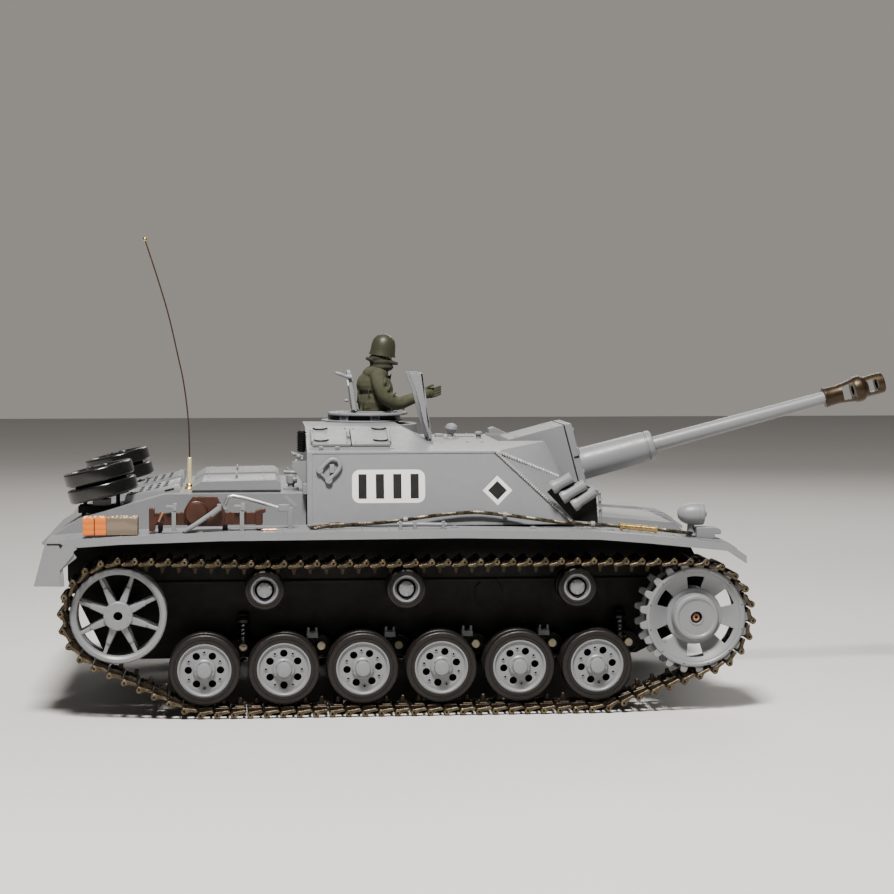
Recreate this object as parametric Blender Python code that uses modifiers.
"""A 1:16 radio controlled assault gun: a turretless tracked model with working running gear.

The hull frame has +X to the front, +Y to the vehicle's left and +Z up, with the ground at z = 0.
Every dimension below is in millimetres. MM turns it into Blender's metres.
"""

from math import acos, atan2, ceil, cos, degrees, hypot, pi, radians, sin

import bmesh
import bpy
from mathutils import Matrix, Vector

MM = 0.001
GAP = 0.3               # clearance between pieces that touch
WELD = 0.00001          # metres, merge distance of curve caps and turned shapes

# Whole model
FRAME_SHIFT = -41.65   # the hull frame's zero, measured from the middle of the bounding box
HULL_HALF = 58.5        # half width of the hull tub
FENDER_HALF = 92.2      # half width over the fenders
SIDES = {"right": -1, "left": 1}

# Running gear
TRACK_MIDDLE = 77.8     # from the hull's middle plane to the middle of a track
TRACK_WIDTH = 25.0
TRACK_INNER = 2.3       # from the line of the pins to the face that the wheels run on
TRACK_OUTER = 2.5       # from the line of the pins to the face on the ground
HORN_HEIGHT = 3.1
WHEEL_RADIUS = 16.25
WHEEL_Z = 21.35
WHEEL_PITCH = 35.76
WHEEL_COUNT = 6
WHEEL_HALF = 7.0        # half width over the two tyres
GROOVE_HALF = 1.6       # half of the gap between the tyres
ROLLER_RADIUS = 9.0
ROLLER_Z = 57.4
ROLLER_X = (-62.2, 1.9, 80.2)
SPROCKET_X, SPROCKET_Z = 134.7, 43.2
SPROCKET_PITCH_RADIUS = 25.06
SPROCKET_TEETH = 21
TOOTH_PLANE = 7.7       # from the middle of the track to the middle of a toothed ring
IDLER_X, IDLER_Z = -127.7, 46.5
IDLER_RADIUS = 21.8
ARM_FORWARD, ARM_UP = 17.5, 7.8     # a swing arm's pivot, seen from its wheel's axle
AXLE_RADIUS = 1.8
BORE_RADIUS = 2.3

# Casemate and gun
CASEMATE_REAR = -42.3
CASEMATE_BASE_Z = 84.95
ROOF_Z = 121.2
HIGH_ROOF_Z = 128.4
TRUNNION = Vector((58.0, 0.0, 98.5))
GUN_ELEVATION = 14.8    # degrees, as the gun rests
MUZZLE_END = 194.6      # from the trunnions along the gun
EMBRASURE_HALF = 27.5
CUPOLA_CENTRE = (-11.0, 33.0)
CUPOLA_RADIUS = 20.2
HATCH_CENTRE = (-5.2, 33.0)
HATCH_RADIUS = 10.6

COLOURS = {             # red, green, blue, roughness, metallic
    "grey_plastic": (0.42, 0.44, 0.47, 0.5, 0.0),
    "black_plastic": (0.02, 0.02, 0.02, 0.5, 0.0),
    "track_metal": (0.09, 0.07, 0.05, 0.4, 0.8),
    "wheel_rubber": (0.03, 0.025, 0.02, 0.6, 0.0),
    "gun_bronze": (0.12, 0.09, 0.07, 0.4, 0.6),
    "figure_olive": (0.12, 0.13, 0.07, 0.8, 0.0),
    "jack_brown": (0.16, 0.06, 0.04, 0.5, 0.0),
    "block_wood": (0.45, 0.2, 0.08, 0.7, 0.0),
    "brass": (0.6, 0.42, 0.15, 0.3, 1.0),
    "steel": (0.45, 0.45, 0.45, 0.35, 1.0),
}


# ---------------------------------------------------------------- helpers

def clear_scene():
    for obj in list(bpy.data.objects):
        bpy.data.objects.remove(obj, do_unlink=True)


def make_materials():
    made = {}
    for name, (red, green, blue, roughness, metallic) in COLOURS.items():
        material = bpy.data.materials.new(name)
        material.use_nodes = True
        shader = material.node_tree.nodes["Principled BSDF"]
        shader.inputs["Base Color"].default_value = (red, green, blue, 1.0)
        shader.inputs["Roughness"].default_value = roughness
        shader.inputs["Metallic"].default_value = metallic
        made[name] = material
    return made


def linked(name, data):
    obj = bpy.data.objects.new(name, data)
    PARTS.objects.link(obj)
    return obj


def evaluated_mesh(obj):
    """The mesh of an object or curve with its modifiers applied, welded and with its faces out."""
    graph = bpy.context.evaluated_depsgraph_get()
    mesh = bpy.data.meshes.new_from_object(obj.evaluated_get(graph))
    shape = bmesh.new()
    shape.from_mesh(mesh)
    bmesh.ops.remove_doubles(shape, verts=shape.verts, dist=WELD * 0.1)
    bmesh.ops.recalc_face_normals(shape, faces=shape.faces)
    shape.to_mesh(mesh)
    shape.free()
    return mesh


def solid(obj, matrix=None):
    """Swap an object for a plain mesh object with its modifiers applied."""
    mesh = evaluated_mesh(obj)
    name = obj.name
    bpy.data.objects.remove(obj)
    if matrix is not None:
        mesh.transform(matrix)
    return linked(name, mesh)


def combine(operation, base, *others):
    """Join the others to the base, or cut them out of it."""
    for other in others:
        boolean = base.modifiers.new(operation.lower(), "BOOLEAN")
        boolean.operation = operation
        boolean.solver = "EXACT"
        boolean.object = other
    result = solid(base)
    for other in others:
        bpy.data.objects.remove(other)
    return result


def join(base, *others):
    return combine("UNION", base, *others)


def cut(base, *others):
    return combine("DIFFERENCE", base, *others)


def box(name, low, high):
    shape = bmesh.new()
    bmesh.ops.create_cube(shape, size=1.0)
    low, high = Vector(low) * MM, Vector(high) * MM
    size = high - low
    bmesh.ops.scale(shape, vec=size, verts=shape.verts)
    bmesh.ops.translate(shape, vec=(low + high) / 2, verts=shape.verts)
    mesh = bpy.data.meshes.new(name)
    shape.to_mesh(mesh)
    shape.free()
    return linked(name, mesh)


def prism(name, outlines, y_low, y_high):
    """Outlines in the XZ plane, filled and given a thickness along Y. Inner outlines are holes."""
    curve = bpy.data.curves.new(name, "CURVE")
    curve.dimensions = "2D"
    curve.fill_mode = "BOTH"
    curve.extrude = abs(y_high - y_low) / 2 * MM
    for outline in outlines:
        spline = curve.splines.new("POLY")
        spline.points.add(len(outline) - 1)
        for point, (x, z) in zip(spline.points, outline):
            point.co = (x * MM, z * MM, 0.0, 1.0)
        spline.use_cyclic_u = True
    middle = Matrix.Translation((0.0, (y_low + y_high) / 2 * MM, 0.0))
    return solid(linked(name, curve), middle @ Matrix.Rotation(pi / 2, 4, "X"))


def turned(name, profile, steps, closed=False):
    """Turn a profile of (radius, height) points, listed from top to bottom, about the Z axis."""
    mesh = bpy.data.meshes.new(name)
    edges = [(i, i + 1) for i in range(len(profile) - 1)]
    if closed:
        edges.append((len(profile) - 1, 0))
    mesh.from_pydata([(r * MM, 0.0, z * MM) for r, z in profile], edges, [])
    obj = linked(name, mesh)
    screw = obj.modifiers.new("turn", "SCREW")
    screw.steps = steps
    screw.render_steps = steps
    screw.use_merge_vertices = True
    screw.merge_threshold = WELD
    return solid(obj)


def tube(name, points, radius, resolution=2):
    curve = bpy.data.curves.new(name, "CURVE")
    curve.dimensions = "3D"
    curve.bevel_depth = radius * MM
    curve.bevel_resolution = resolution
    curve.use_fill_caps = True
    spline = curve.splines.new("POLY")
    spline.points.add(len(points) - 1)
    for point, place in zip(spline.points, points):
        point.co = (*(Vector(place) * MM), 1.0)
    return solid(linked(name, curve))


def hull_of(name, points):
    shape = bmesh.new()
    for point in points:
        shape.verts.new(Vector(point) * MM)
    bmesh.ops.convex_hull(shape, input=shape.verts)
    mesh = bpy.data.meshes.new(name)
    shape.to_mesh(mesh)
    shape.free()
    return linked(name, mesh)


def moved(obj, offset=(0, 0, 0), turn=None):
    matrix = Matrix.Translation(Vector(offset) * MM)
    if turn is not None:
        matrix = matrix @ turn
    obj.data.transform(matrix)
    return obj


def outward(side):
    """The turn that takes +Z to the outer side of the vehicle."""
    return Matrix.Rotation(-side * pi / 2, 4, "X")


def place(obj, material, origin=(0, 0, 0)):
    """Give a finished piece its material, and put its origin on its axis in the hull frame."""
    origin = Vector(origin) * MM
    obj.data.transform(Matrix.Translation(-origin))
    obj.location = origin
    obj.parent = FRAME
    obj.data.materials.clear()
    obj.data.materials.append(MATERIALS[material])
    obj.data.set_sharp_from_angle(angle=radians(35))
    return obj


def copy_of(source, name, material, origin, turn):
    """Another piece on the same mesh, turned in place."""
    obj = linked(name, source.data)
    obj.location = Vector(origin) * MM
    obj.rotation_euler = turn.to_euler()
    obj.parent = FRAME
    obj.data.materials.clear()
    obj.data.materials.append(MATERIALS[material])
    return obj


def arc(centre, radius, start, end, steps):
    """Points along an arc, with its angles in degrees."""
    angles = [radians(start + (end - start) * i / steps) for i in range(steps + 1)]
    return [(centre[0] + radius * cos(a), centre[1] + radius * sin(a)) for a in angles]


def mirrored(points):
    """Each point and its twin on the other side of the middle plane."""
    return [(x, y * side, z) for x, y, z in points for side in (-1, 1)]


def smooth_route(points, per_span):
    """Points along a smooth curve through the given ones."""
    knots = [Vector(p) for p in points]
    ends = [2 * knots[0] - knots[1], *knots, 2 * knots[-1] - knots[-2]]
    route = []
    for i in range(len(knots) - 1):
        p0, p1, p2, p3 = ends[i:i + 4]
        for step in range(per_span):
            t = step / per_span
            route.append(0.5 * (2 * p1 + (p2 - p0) * t + (2 * p0 - 5 * p1 + 4 * p2 - p3) * t ** 2
                                + (3 * p1 - p0 - 3 * p2 + p3) * t ** 3))
    route.append(knots[-1])
    return route


# ---------------------------------------------------------------- running gear

def wheel_x(index):
    return (index - (WHEEL_COUNT - 1) / 2) * WHEEL_PITCH


def road_wheel():
    """A double wheel: two tyres with a groove for the guide horns, and a blind bore."""
    groove_floor = 11.8
    profile = [(0, 8.4), (3.9, 8.4), (4.5, 5.4), (11.4, 5.2), (12.2, WHEEL_HALF), (WHEEL_RADIUS, WHEEL_HALF),
               (WHEEL_RADIUS, GROOVE_HALF), (groove_floor, GROOVE_HALF), (groove_floor, -GROOVE_HALF),
               (WHEEL_RADIUS, -GROOVE_HALF), (WHEEL_RADIUS, -WHEEL_HALF), (BORE_RADIUS, -WHEEL_HALF),
               (BORE_RADIUS, 4.0), (0, 4.0)]
    return turned("wheel", profile, 15)


def return_roller():
    floor = 5.0
    profile = [(0, 7.6), (3.5, 7.6), (4.0, 5.6), (6.5, 5.6), (ROLLER_RADIUS, WHEEL_HALF),
               (ROLLER_RADIUS, GROOVE_HALF), (floor, GROOVE_HALF), (floor, -GROOVE_HALF),
               (ROLLER_RADIUS, -GROOVE_HALF), (ROLLER_RADIUS, -WHEEL_HALF), (BORE_RADIUS, -WHEEL_HALF),
               (BORE_RADIUS, 4.0), (0, 4.0)]
    return turned("roller", profile, 12)


def idler_wheel():
    """Two rims on a channel, eight spokes and a hub with a blind bore."""
    spokes, floor, inside = 8, 18.1, 16.9
    rim = turned("idler", [(IDLER_RADIUS, WHEEL_HALF), (IDLER_RADIUS, GROOVE_HALF), (floor, GROOVE_HALF),
                           (floor, -GROOVE_HALF), (IDLER_RADIUS, -GROOVE_HALF), (IDLER_RADIUS, -WHEEL_HALF),
                           (inside, -WHEEL_HALF), (inside, WHEEL_HALF)], 20, closed=True)
    hub = turned("hub", [(0, 8.2), (6.4, 8.2), (6.4, -WHEEL_HALF), (BORE_RADIUS, -WHEEL_HALF),
                         (BORE_RADIUS, 4.0), (0, 4.0)], 12)
    pieces = [hub]
    for index in range(spokes):
        spoke = box("spoke", (5.0, -1.3, -5.5), (inside + 0.6, 1.3, 6.0))
        pieces.append(moved(spoke, turn=Matrix.Rotation(radians(25 + 360 / spokes * index), 4, "Z")))
    return join(rim, *pieces)


def toothed_ring(middle):
    """A flat ring of teeth about the Z axis."""
    root, tip, half = 22.3, 26.0, 1.2
    outline = []
    for tooth in range(SPROCKET_TEETH):
        for radius, part in ((root, -0.30), (tip, -0.13), (tip, 0.13), (root, 0.30)):
            angle = 2 * pi * (tooth + part) / SPROCKET_TEETH
            outline.append((radius * cos(angle), radius * sin(angle)))
    hole = arc((0, 0), 11.0, 0, 345, 23)
    ring = prism("ring", [outline, hole], -half, half)
    return moved(ring, (0, 0, middle), Matrix.Rotation(pi / 2, 4, "X"))


def drive_sprocket():
    """Two toothed rings on a drum, with six round windows and a domed hub."""
    windows, window_radius, window_circle = 6, 2.9, 17.4
    drum = turned("drum", [(0, 11.2), (9.5, 11.2), (10.6, 9.3), (12.6, 9.2), (12.6, -9.2), (BORE_RADIUS, -9.2),
                           (BORE_RADIUS, 6.0), (0, 6.0)], 14)
    sprocket = join(drum, toothed_ring(TOOTH_PLANE), toothed_ring(-TOOTH_PLANE))
    holes = []
    for index in range(windows):
        angle = radians(31 + 60 * index)
        hole = turned("window", [(0, 15), (window_radius, 15), (window_radius, -15), (0, -15)], 8)
        holes.append(moved(hole, (window_circle * cos(angle), window_circle * sin(angle), 0)))
    return cut(sprocket, *holes)


def swing_arm(side):
    """A flat arm from its pivot to the axle, with a bored hub at the pivot and the wheel's pin."""
    pivot, eye, tip = (ARM_FORWARD, ARM_UP), 4.4, 3.6
    lean = degrees(atan2(ARM_UP, ARM_FORWARD))
    outline = arc(pivot, eye, lean - 90, lean + 90, 5) + arc((0, 0), tip, lean + 90, lean + 270, 5)
    bore = arc(pivot, BORE_RADIUS, 0, 324, 9)
    inner, outer = HULL_HALF + 2.6, HULL_HALF + 7.0
    arm = prism("arm", [outline, bore], side * inner, side * outer)
    reach = TRACK_MIDDLE + 3.0
    pin = turned("pin", [(0, reach), (AXLE_RADIUS, reach), (AXLE_RADIUS, outer - 1.5), (0, outer - 1.5)], 8)
    return join(arm, moved(pin, turn=outward(side)))


def running_circles():
    """The circles that the line of track pins wraps, going round from the sprocket's underside."""
    lift = TRACK_INNER + GAP
    sprocket = (SPROCKET_X, SPROCKET_Z, SPROCKET_PITCH_RADIUS)
    rollers = [(x, ROLLER_Z, ROLLER_RADIUS + lift) for x in reversed(ROLLER_X)]
    idler = (IDLER_X, IDLER_Z, IDLER_RADIUS + lift)
    rear = (wheel_x(0), WHEEL_Z, WHEEL_RADIUS + lift)
    front = (wheel_x(WHEEL_COUNT - 1), WHEEL_Z, WHEEL_RADIUS + lift)
    return [sprocket, *rollers, idler, rear, front]


def belt_line(circles, arc_step=13.0, straight_step=17.0):
    """A closed line that wraps the circles anticlockwise and runs straight between them."""
    joints = []
    for (x0, z0, r0), (x1, z1, r1) in zip(circles, circles[1:] + circles[:1]):
        distance = hypot(x1 - x0, z1 - z0)
        angle = atan2(z1 - z0, x1 - x0) - acos((r0 - r1) / distance)
        joints.append(angle)
    line = []
    for index, (x, z, r) in enumerate(circles):
        start, end = joints[index - 1], joints[index]
        sweep = (end - start) % (2 * pi)
        if sweep > 1.8 * pi:
            sweep = 0.0
            start = end
        steps = max(1, ceil(degrees(sweep) / arc_step))
        line += arc((x, z), r, degrees(start), degrees(start + sweep), steps)
        x1, z1, r1 = circles[(index + 1) % len(circles)]
        leave = Vector(line[-1])
        arrive = Vector((x1 + r1 * cos(end), z1 + r1 * sin(end)))
        spans = max(1, round((arrive - leave).length / straight_step))
        line += [tuple(leave.lerp(arrive, i / spans)) for i in range(1, spans)]
    distinct = [p for p, q in zip(line, line[1:] + line[:1]) if hypot(p[0] - q[0], p[1] - q[1]) > 0.2]
    return distinct


def track(name):
    """A closed belt about the track's own middle plane, with two tooth channels and a guide rib."""
    half, slot_out, slot_in, floor, rib = TRACK_WIDTH / 2, 9.6, 5.8, 1.5, 0.95
    right_half = [(half, TRACK_OUTER), (half, -TRACK_INNER), (slot_out, -TRACK_INNER), (slot_out, floor),
                  (slot_in, floor), (slot_in, -TRACK_INNER), (rib, -TRACK_INNER),
                  (rib, -TRACK_INNER - HORN_HEIGHT)]
    section = right_half + [(-y, n) for y, n in reversed(right_half)]
    line = belt_line(running_circles())
    shape = bmesh.new()
    rings = []
    for index, (x, z) in enumerate(line):
        before, after = Vector(line[index - 1]), Vector(line[(index + 1) % len(line)])
        middle = Vector((x, z))
        first, second = (middle - before).normalized(), (after - middle).normalized()
        normal = Vector((first.y + second.y, -first.x - second.x)).normalized()
        stretch = 1 / max(0.8, normal.dot(Vector((second.y, -second.x))))
        ring = []
        for y, n in section:
            point = middle + normal * n * stretch
            ring.append(shape.verts.new((point.x * MM, y * MM, point.y * MM)))
        rings.append(ring)
    for ring, following in zip(rings, rings[1:] + rings[:1]):
        for i in range(len(section)):
            j = (i + 1) % len(section)
            shape.faces.new((ring[i], following[i], following[j], ring[j]))
    bmesh.ops.recalc_face_normals(shape, faces=shape.faces)
    mesh = bpy.data.meshes.new(name)
    shape.to_mesh(mesh)
    shape.free()
    return linked(name, mesh)


def build_running_gear():
    wheel, roller, idler, sprocket = road_wheel(), return_roller(), idler_wheel(), drive_sprocket()
    for word, side in SIDES.items():
        y = side * TRACK_MIDDLE
        turn = outward(side)
        for index in range(WHEEL_COUNT):
            x = wheel_x(index)
            copy_of(wheel, f"road_wheel_{word}_{index + 1}", "wheel_rubber", (x, y, WHEEL_Z), turn)
            arm = moved(swing_arm(side), (x, 0, WHEEL_Z))
            arm.name = f"swing_arm_{word}_{index + 1}"
            place(arm, "black_plastic", (x + ARM_FORWARD, y, WHEEL_Z + ARM_UP))
        for index, x in enumerate(ROLLER_X):
            copy_of(roller, f"return_roller_{word}_{index + 1}", "wheel_rubber", (x, y, ROLLER_Z), turn)
        copy_of(idler, f"idler_wheel_{word}", "grey_plastic", (IDLER_X, y, IDLER_Z), turn)
        copy_of(sprocket, f"drive_sprocket_{word}", "grey_plastic", (SPROCKET_X, y, SPROCKET_Z), turn)
        belt = moved(track(f"track_{word}"), (0, y, 0))
        place(belt, "track_metal")
    spare_tilt = Matrix.Rotation(radians(-14.0), 4, "Y")
    for word, side in SIDES.items():
        spare_x = -137.8 if side < 0 else -134.5
        spare_z = 105.0 + (spare_x + 137.8) * 0.25
        copy_of(wheel, f"spare_wheel_{word}", "wheel_rubber", (spare_x, side * 45.0, spare_z), spare_tilt)
    for master in (wheel, roller, idler, sprocket):
        bpy.data.objects.remove(master)


# ---------------------------------------------------------------- hull

def stepped_shaft(side, x, z, boss_radius, boss_end, pin_radius, pin_end):
    """A boss on the hull's side with a pin that carries a wheel or an arm."""
    profile = [(0, pin_end), (pin_radius, pin_end), (pin_radius, boss_end), (boss_radius, boss_end),
               (boss_radius, HULL_HALF - 1.5), (0, HULL_HALF - 1.5)]
    shaft = turned("shaft", profile, 8)
    return moved(shaft, (x, 0, z), outward(side))


def hull_shafts():
    wheel_pin_end = TRACK_MIDDLE + 3.0
    wheel_boss_end = TRACK_MIDDLE - WHEEL_HALF - 1.0
    shafts = []
    for side in SIDES.values():
        for x in ROLLER_X:
            shafts.append(stepped_shaft(side, x, ROLLER_Z, 4.0, wheel_boss_end, AXLE_RADIUS, wheel_pin_end))
        shafts.append(stepped_shaft(side, IDLER_X, IDLER_Z, 6.0, wheel_boss_end, AXLE_RADIUS, wheel_pin_end))
        shafts.append(stepped_shaft(side, SPROCKET_X, SPROCKET_Z, 10.5, TRACK_MIDDLE - 10.2, AXLE_RADIUS,
                                    wheel_pin_end + 1.5))
        for index in range(WHEEL_COUNT):
            x = wheel_x(index) + ARM_FORWARD
            shafts.append(stepped_shaft(side, x, WHEEL_Z + ARM_UP, 4.0, HULL_HALF + 2.2, AXLE_RADIUS,
                                        HULL_HALF + 8.2))
    return shafts


def lower_hull():
    """The open tub between the tracks, with the stub shafts of the running gear."""
    top = 79.4
    outside = [(-152.0, top), (-152.0, 60.0), (-134.0, 23.0), (112.0, 23.0), (138.0, 36.0), (147.5, 55.0),
               (134.0, top)]
    inside = [(-149.4, top + 5), (-149.4, 60.6), (-132.4, 25.4), (111.4, 25.4), (136.2, 37.8), (144.8, 54.8),
              (131.0, top), (131.0, top + 5)]
    tub = prism("lower_hull", [outside], -HULL_HALF, HULL_HALF)
    tub = cut(tub, prism("hollow", [inside], -HULL_HALF + 2.4, HULL_HALF - 2.4))
    return place(join(tub, *hull_shafts()), "black_plastic")


FENDER_TOP = [(-158.9, 80.9), (-126.3, 83.0), (-82.1, 84.2), (-37.5, 84.6), (25.4, 84.6), (89.0, 83.4),
              (110.6, 81.6), (148.0, 77.7), (156.9, 71.8)]


def fender_band(thickness):
    return FENDER_TOP + [(x, z - thickness) for x, z in reversed(FENDER_TOP)]


def fender(side):
    """A mudguard with a turned-down outer lip, a rear flap and its gusset."""
    plate = prism("fender", [fender_band(1.8)], side * (HULL_HALF + GAP), side * FENDER_HALF)
    lip = prism("lip", [fender_band(3.6)], side * (FENDER_HALF - 1.4), side * FENDER_HALF)
    flap_outline = [(-157.2, 80.9), (-158.9, 80.9), (-164.2, 61.3), (-162.6, 60.9), (-157.4, 79.2)]
    flap = prism("flap", [flap_outline], side * (HULL_HALF + 3.5), side * FENDER_HALF)
    gusset_outline = [(-157.9, 79.9), (-163.4, 61.2), (-152.3, 60.9), (-152.6, 68.2), (-146.6, 75.2),
                      (-146.6, 79.9)]
    gusset = prism("gusset", [gusset_outline], side * (FENDER_HALF - 1.4), side * FENDER_HALF)
    return [plate, lip, flap, gusset]


def engine_deck_covers():
    """Raised lids on the engine deck: two at the rear on the slope, two intakes in front of them."""
    rear_outline = [(-127.0, 93.0), (-126.0, 97.6), (-101.4, 103.3), (-100.6, 98.6)]
    intake_outline = [(-95.5, 100.4), (-95.5, 101.6), (-90.5, 104.3), (-56.5, 104.9), (-54.2, 103.4),
                      (-54.2, 100.4)]
    covers = []
    for side in SIDES.values():
        covers.append(prism("rear_lid", [rear_outline], side * 8.0, side * 50.0))
        covers.append(prism("intake", [intake_outline], side * 6.0, side * 52.0))
        covers.append(box("curb", (-94.5, side * 29 - 22, 98.5), (-55.2, side * 29 + 22, 100.6)))
        covers.append(box("rack", (-141, side * 45 - 5, 88), (-133, side * 45 + 5, 96.2)))
    return covers


def upper_hull():
    """Engine deck, deck frame under the casemate, glacis plate and both fenders, as one moulding."""
    half = 60.0
    outside = [(-163.0, 76.4), (-163.6, 77.4), (-145.8, 88.5), (-127.1, 93.7), (-107.5, 99.2), (-42.8, 99.2),
               (-42.8, 84.6), (92.2, 84.6), (92.2, 87.6), (95.4, 87.4), (128.7, 84.3), (132.5, 81.6),
               (135.0, 79.7), (-152.0, 79.7), (-152.0, 76.4)]
    inside = [(-143.4, 75.0), (-143.4, 86.6), (-126.4, 91.5), (-107.2, 96.9), (-45.0, 96.9), (-45.0, 75.0)]
    body = prism("upper_hull", [outside], -half, half)
    hollows = [prism("hollow", [inside], -half + 2.4, half - 2.4),
               box("well", (-45.5, -54, 75), (80, 54, 90)),
               box("glacis_hollow", (96, -54, 75), (126, 54, 82.4))]
    body = cut(body, *hollows)
    fenders = [piece for side in SIDES.values() for piece in fender(side)]
    return place(join(body, *fenders, *engine_deck_covers()), "grey_plastic")


# ---------------------------------------------------------------- casemate

SIDE_TOP = (64.3, 118.4)            # y and z of the side plate's top edge
SIDE_BOTTOM = (70.5, CASEMATE_BASE_Z)
HIGH_ROOF_HALF = 28.0
HIGH_ROOF_FRONT = 3.3
ROOF_BREAK = 17.1


def casemate():
    """The fighting compartment: sloped sides, raised rear roof, front cheeks and the gun's opening."""
    front = [(44.0, *SIDE_TOP), (80.0, *SIDE_BOTTOM), (90.0, 29.6, CASEMATE_BASE_Z),
             (82.0, 29.6, 104.5), (72.0, 29.6, ROOF_Z), (44.0, 42.0, ROOF_Z)]
    rear = [(CASEMATE_REAR, *SIDE_TOP), (CASEMATE_REAR, *SIDE_BOTTOM), (CASEMATE_REAR, 42.0, ROOF_Z)]
    shell = hull_of("casemate", mirrored(front + rear))
    high = [(CASEMATE_REAR, *SIDE_TOP), (CASEMATE_REAR, HIGH_ROOF_HALF, HIGH_ROOF_Z),
            (HIGH_ROOF_FRONT, HIGH_ROOF_HALF, HIGH_ROOF_Z), (ROOF_BREAK, SIDE_TOP[0] - 1.0, SIDE_TOP[1] + 0.2),
            (ROOF_BREAK, 42.0, ROOF_Z), (CASEMATE_REAR, 60.0, 116.0), (ROOF_BREAK - 2, 60.0, 116.0)]
    shell = join(shell, hull_of("high_roof", mirrored(high)))

    wall = 2.4
    low_room = [(CASEMATE_REAR + wall, 67.6, 83.0), (CASEMATE_REAR + wall, 61.8, 116.2),
                (CASEMATE_REAR + wall, 41.0, 118.6), (45.5, 67.6, 83.0), (45.5, 61.8, 116.2), (45.5, 41.0, 118.6)]
    high_room = [(CASEMATE_REAR + wall, 60.0, 116.0), (CASEMATE_REAR + wall, 27.2, 126.0),
                 (2.6, 27.2, 126.0), (13.6, 60.0, 116.0)]
    shell = cut(shell, hull_of("low_room", mirrored(low_room)), hull_of("high_room", mirrored(high_room)))

    embrasure = box("embrasure", (50.0, -EMBRASURE_HALF, 88.4), (100.0, EMBRASURE_HALF, 130.0))
    gun_well = box("gun_well", (44.0, -EMBRASURE_HALF, 80.0), (79.0, EMBRASURE_HALF, 89.0))
    gun_room = box("gun_room", (44.0, -EMBRASURE_HALF, 80.0), (50.5, EMBRASURE_HALF, 118.6))
    drum_hole = turned("drum_hole", [(0, 140), (17.9, 140), (17.9, 110), (0, 110)], 20)
    moved(drum_hole, (*CUPOLA_CENTRE, 0))
    loader_hole = loader_frame(box("loader_hole", (-37.6, -11.4, -12), (-5.8, 11.4, 8)))
    return place(cut(shell, embrasure, gun_well, gun_room, drum_hole, loader_hole), "grey_plastic")


LOADER_X = (-39.6, -3.8)            # the hinge lines of the two flaps
ROOF_SLOPE = atan2(HIGH_ROOF_Z - SIDE_TOP[1], SIDE_TOP[0] - HIGH_ROOF_HALF)
LOADER_MIDDLE = (-(SIDE_TOP[0] + HIGH_ROOF_HALF) / 2, (HIGH_ROOF_Z + SIDE_TOP[1]) / 2)


def loader_frame(obj):
    """Lay a shape made about a level plane on the sloping right-hand roof plate."""
    y, z = LOADER_MIDDLE
    return moved(obj, (0, y, z), Matrix.Rotation(ROOF_SLOPE, 4, "X"))


def build_loader_hatch():
    """Two flaps that meet in the middle of the opening, each with a hinge roll at its outer edge."""
    seam = (LOADER_X[0] + LOADER_X[1]) / 2
    for word, hinge_x, inward in (("rear", LOADER_X[0], 1), ("front", LOADER_X[1], -1)):
        edge = seam - inward * 0.2
        low_x, high_x = sorted((hinge_x, edge))
        flap = box("flap", (low_x, -12.4, 0.35), (high_x, 12.4, 1.75))
        roll = moved(turned("roll", [(0, 9), (0.9, 9), (0.9, -9), (0, -9)], 8), (hinge_x, 0, 1.25),
                     Matrix.Rotation(pi / 2, 4, "X"))
        hatch = loader_frame(join(flap, roll))
        hatch.name = f"loader_hatch_{word}"
        y, z = LOADER_MIDDLE
        lift = 1.25
        place(hatch, "grey_plastic", (hinge_x, y - lift * sin(ROOF_SLOPE), z + lift * cos(ROOF_SLOPE)))


def build_cupola():
    x, y = CUPOLA_CENTRE
    top, rim, sill = 132.8, 130.6, HIGH_ROOF_Z + GAP
    ring = turned("commander_cupola", [(0, top), (CUPOLA_RADIUS, top), (CUPOLA_RADIUS, rim), (18.4, rim - 0.6),
                                       (18.8, sill + 1.0), (20.4, sill + 0.8), (20.4, sill), (17.4, sill),
                                       (17.4, 117.0), (0, 117.0)], 24)
    moved(ring, (x, y, 0))
    hole = turned("hole", [(0, 140), (HATCH_RADIUS, 140), (HATCH_RADIUS, 110), (0, 110)], 20)
    place(cut(ring, moved(hole, (*HATCH_CENTRE, 0))), "grey_plastic")

    lid = prism("cupola_hatch", [[(-15.4, 133.4), (-18.3, 152.4), (-20.2, 151.9), (-17.6, 133.4)]],
                y - 11.5, y + 11.5)
    place(lid, "grey_plastic", (-16.5, y, 133.6))


def commander_figure():
    """A half figure in a jacket and helmet, with both arms forward over the hatch."""
    x, y = -5.2, CUPOLA_CENTRE[1]
    body = turned("commander_figure", [(0, 156.6), (4.4, 156.6), (8.0, 154.0), (9.0, 146.0), (7.4, 134.0),
                                       (7.2, 119.0), (0, 119.0)], 14)
    body.data.transform(Matrix.Diagonal((1.0, 1.2, 1.0, 1.0)))
    moved(body, (x, y, 0))
    head = turned("head", [(0, 172.6), (4.4, 171.4), (6.5, 166.0), (6.7, 161.0), (6.2, 154.0), (0, 154.0)], 14)
    moved(head, (x + 3.5, y, 0))
    shoulder_z = 151.5
    right_arm = tube("arm", [(x, y - 7, shoulder_z), (x + 3, y - 10, 145), (x + 14, y - 9, 141.5),
                             (x + 31, y - 6, 143.5)], 2.4, 1)
    left_arm = tube("arm", [(x, y + 7, shoulder_z), (x + 3, y + 10, 144), (x + 12, y + 9, 138)], 2.4, 1)
    return place(join(body, head, right_arm, left_arm), "figure_olive")


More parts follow.
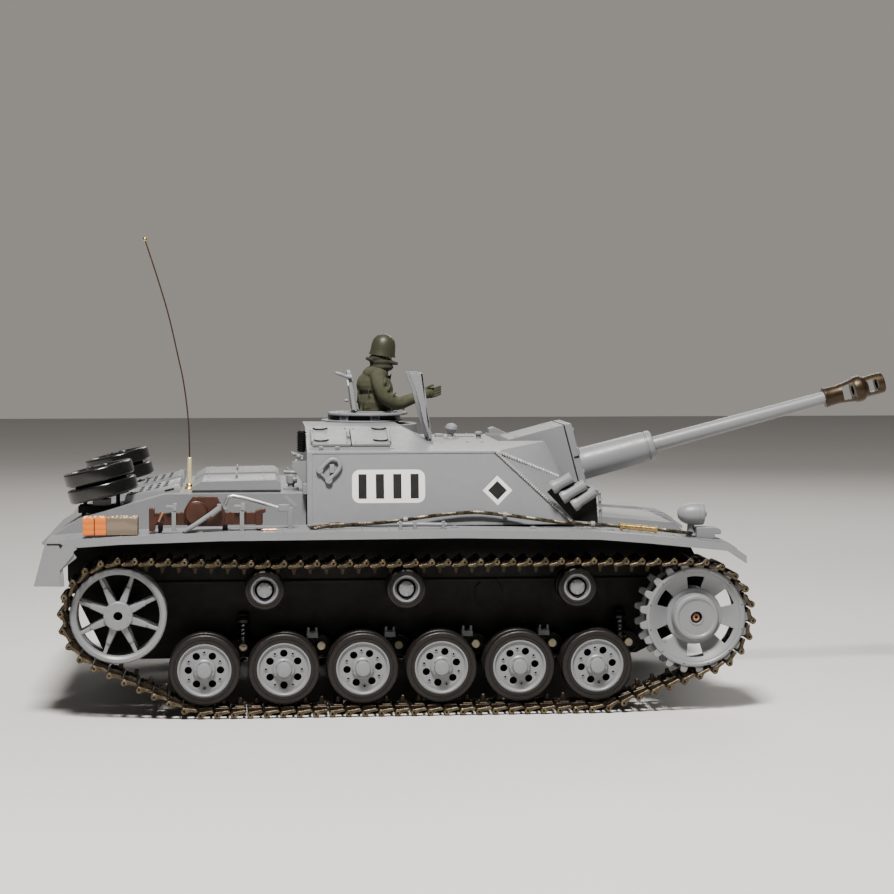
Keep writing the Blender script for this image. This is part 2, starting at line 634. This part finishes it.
def mg_shield():
    """The folding shield of the roof gun: a plate with a slot to look through and two swept-back wings."""
    strip = [(15.0, 123.4), (16.8, 123.2), (12.4, 154.4), (10.6, 154.2)]
    wing = [(15.0, 124.4), (15.9, 124.4), (11.6, 154.3), (4.1, 154.3), (7.4, 146.9), (11.6, 131.5)]
    wings = [prism("wing", [wing], low, low + 1.4) for low in (-46.0, -17.4)]
    shield = join(prism("mg_shield", [strip], -46.0, -16.0), *wings)
    slot = box("slot", (5, -33.0, 139.0), (20, -29.0, 160.0))
    return place(cut(shield, slot), "grey_plastic", (15.9, -31.0, 123.2))


# ---------------------------------------------------------------- gun

def gun_frame(obj):
    """Take a shape made about a level gun, with the trunnions at zero, to the gun's rest position."""
    turn = Matrix.Rotation(-radians(GUN_ELEVATION), 4, "Y")
    return moved(obj, TRUNNION, turn)


def along_gun(obj):
    obj.data.transform(Matrix.Rotation(pi / 2, 4, "Y"))
    return gun_frame(obj)


def build_gun():
    mantlet_half = 20.0
    outline = [(35.5, -7.0), (35.5, 21.0), (33.6, 22.8), (4.0, 22.8), (2.0, 20.8), (-8.0, 8.0), (-8.0, -8.0),
               (13.0, -8.0), (14.0, -7.0)]
    mantlet = prism("mantlet", [outline], -mantlet_half, mantlet_half)
    pins = turned("pins", [(0, 22.6), (2.5, 22.6), (2.5, -22.6), (0, -22.6)], 12)
    moved(pins, turn=Matrix.Rotation(pi / 2, 4, "X"))
    place(gun_frame(join(mantlet, pins)), "grey_plastic", TRUNNION)

    barrel = turned("gun_barrel", [(0, 163.5), (3.25, 163.5), (3.8, 74.8), (6.9, 74.6), (7.5, 73.4), (7.5, 70.0),
                                   (7.9, 40.0), (7.9, 35.8), (0, 35.8)], 20)
    place(along_gun(barrel), "grey_plastic", TRUNNION)

    brake = turned("muzzle_brake", [(0, MUZZLE_END - 14), (2.3, MUZZLE_END - 14), (2.3, MUZZLE_END),
                                    (5.3, MUZZLE_END), (5.6, 190.0), (5.2, 184.6), (6.6, 182.2), (6.6, 179.0),
                                    (4.9, 173.4), (5.0, 163.8), (0, 163.8)], 16)
    windows = [box("window", (-3.3, -9, low), (3.3, 9, high)) for low, high in ((173.4, 178.6), (186.0, 191.0))]
    place(along_gun(cut(brake, *windows)), "gun_bronze", TRUNNION)

    cheek_outline = [[(-8.0, 86.5 - TRUNNION.z), (8.0, 86.5 - TRUNNION.z), (5.0, 5.0), (-5.0, 5.0)],
                     arc((0, 0), 2.9, 0, 330, 11)]
    cheeks = [prism("cheek", cheek_outline, side * 20.4, side * 22.8) for side in SIDES.values()]
    floor = box("gun_cradle", (-12, -22.8, 84.9 - TRUNNION.z), (12, 22.8, 86.9 - TRUNNION.z))
    cradle = join(floor, *cheeks)
    place(moved(cradle, TRUNNION), "steel", TRUNNION)


# ---------------------------------------------------------------- fittings

def smoke_launcher(word, side):
    """Three discharger tubes fanned on a bracket beside the front of the casemate."""
    radius = 2.2
    tubes = (((69.7, 101.9), (78.5, 107.0)), ((74.2, 97.3), (84.8, 103.7)), ((79.5, 93.6), (89.6, 100.6)))
    bracket_outline = [(71.0, 101.0), (81.0, 88.4), (92.0, 86.6), (90.4, 100.6), (85.0, 104.0), (78.0, 106.4)]
    bracket = prism(f"smoke_launcher_{word}", [bracket_outline], side * 70.9, side * 72.3)
    pieces = [tube("tube", [(x0, side * 73.4, z0), (x1, side * 74.4, z1)], radius, 2)
              for (x0, z0), (x1, z1) in tubes]
    return place(join(bracket, *pieces), "grey_plastic")


def headlamp():
    """An egg-shaped lamp that looks forward, on a stem on the right fender."""
    lamp = turned("headlamp", [(0, 6.4), (4.9, 6.4), (5.2, 2.0), (4.6, -2.2), (3.0, -5.4), (0, -6.6)], 16)
    lamp.data.transform(Matrix.Rotation(pi / 2, 4, "Y"))
    moved(lamp, (134.2, -76.0, 89.8))
    stem = turned("stem", [(0, 87.0), (1.4, 87.0), (2.0, 79.8), (0, 79.8)], 10)
    return place(join(lamp, moved(stem, (134.0, -76.0, 0))), "grey_plastic")


def jack():
    """A vehicle jack that lies along the right fender: bar, round gear case and two feet."""
    bar = box("jack", (-112.0, -84.2, 87.2), (-63.0, -79.0, 92.6))
    case = turned("case", [(0, 4.6), (7.2, 4.6), (7.2, -4.6), (0, -4.6)], 6)
    moved(case, (-92.7, -81.6, 92.2), Matrix.Rotation(pi / 2, 4, "X"))
    feet = [box("foot", (-113.6, -85.4, 85.0), (-111.2, -77.8, 94.6)),
            box("foot", (-66.0, -85.4, 85.0), (-62.6, -77.8, 93.2))]
    return place(join(bar, case, *feet), "jack_brown")


def jack_block():
    return place(box("jack_block", (-142.8, -90.6, 83.5), (-118.6, -79.0, 91.1)), "block_wood")


TOW_CABLE_ROUTE = [(-31, -80, 86.2), (-20, -77.5, 86.3), (-2, -74.6, 87.4), (16, -72.4, 89.6), (33, -71.8, 90.8),
                   (48, -72.2, 89.6), (62, -74.4, 87.8), (76, -76.6, 86.0), (91, -77.4, 85.2), (105, -78.2, 84.1),
                   (118, -79.2, 82.9), (129, -80, 81.7)]


def tow_cable():
    return place(tube("tow_cable_right", smooth_route(TOW_CABLE_ROUTE, 3), 0.9, 1), "brass")


def antenna():
    """A base on the deck, a sleeve and a thin whip that leans back, with a bead at its tip."""
    y = -30.0
    base = turned("antenna", [(0, 101.6), (1.3, 101.0), (1.4, 99.5), (0, 99.5)], 10)
    moved(base, (-97.2, y, 0))
    sleeve = tube("sleeve", [(-97.2, y, 100.5), (-97.0, y, 114.2)], 1.1, 1)
    whip_points = [(-97.0, y, 113.0), (-97.5, y, 131.1), (-99.5, y, 148.8), (-102.2, y, 162.2),
                   (-106.3, y, 180.7), (-111.1, y, 197.5), (-117.2, y, 216.7)]
    whip = tube("whip", smooth_route(whip_points, 2), 0.55, 0)
    bead = turned("bead", [(0, 1.3), (1.1, 0.6), (1.1, -0.6), (0, -1.3)], 8)
    moved(bead, (-117.2, y, 216.9))
    return place(join(base, sleeve, whip, bead), "brass")


# ---------------------------------------------------------------- inside

def battery_pack():
    return place(box("battery_pack", (-104, -24, 26.0), (-10, 24, 48.0)), "black_plastic")


def drive_unit():
    """Twin gearboxes behind the front plate, with a motor lying behind each."""
    block = box("drive_unit", (98.0, -52.0, 35.0), (126.0, 52.0, 60.0))
    motors = []
    for side in SIDES.values():
        motor = turned("motor", [(0, 100.0), (12.0, 100.0), (12.0, 56.0), (0, 56.0)], 12)
        motor.data.transform(Matrix.Rotation(pi / 2, 4, "Y"))
        motors.append(moved(motor, (0, side * 30.0, 47.5)))
    return place(join(block, *motors), "steel")


clear_scene()
PARTS = bpy.data.collections.new("assault_gun")
bpy.context.scene.collection.children.link(PARTS)
FRAME = bpy.data.objects.new("hull_frame", None)
FRAME.location.x = FRAME_SHIFT * MM
PARTS.objects.link(FRAME)
MATERIALS = make_materials()

build_running_gear()
lower_hull()
upper_hull()
casemate()
build_loader_hatch()
build_cupola()
commander_figure()
mg_shield()
build_gun()
for SIDE_WORD, SIDE in SIDES.items():
    smoke_launcher(SIDE_WORD, SIDE)
headlamp()
jack()
jack_block()
tow_cable()
antenna()
battery_pack()
drive_unit()
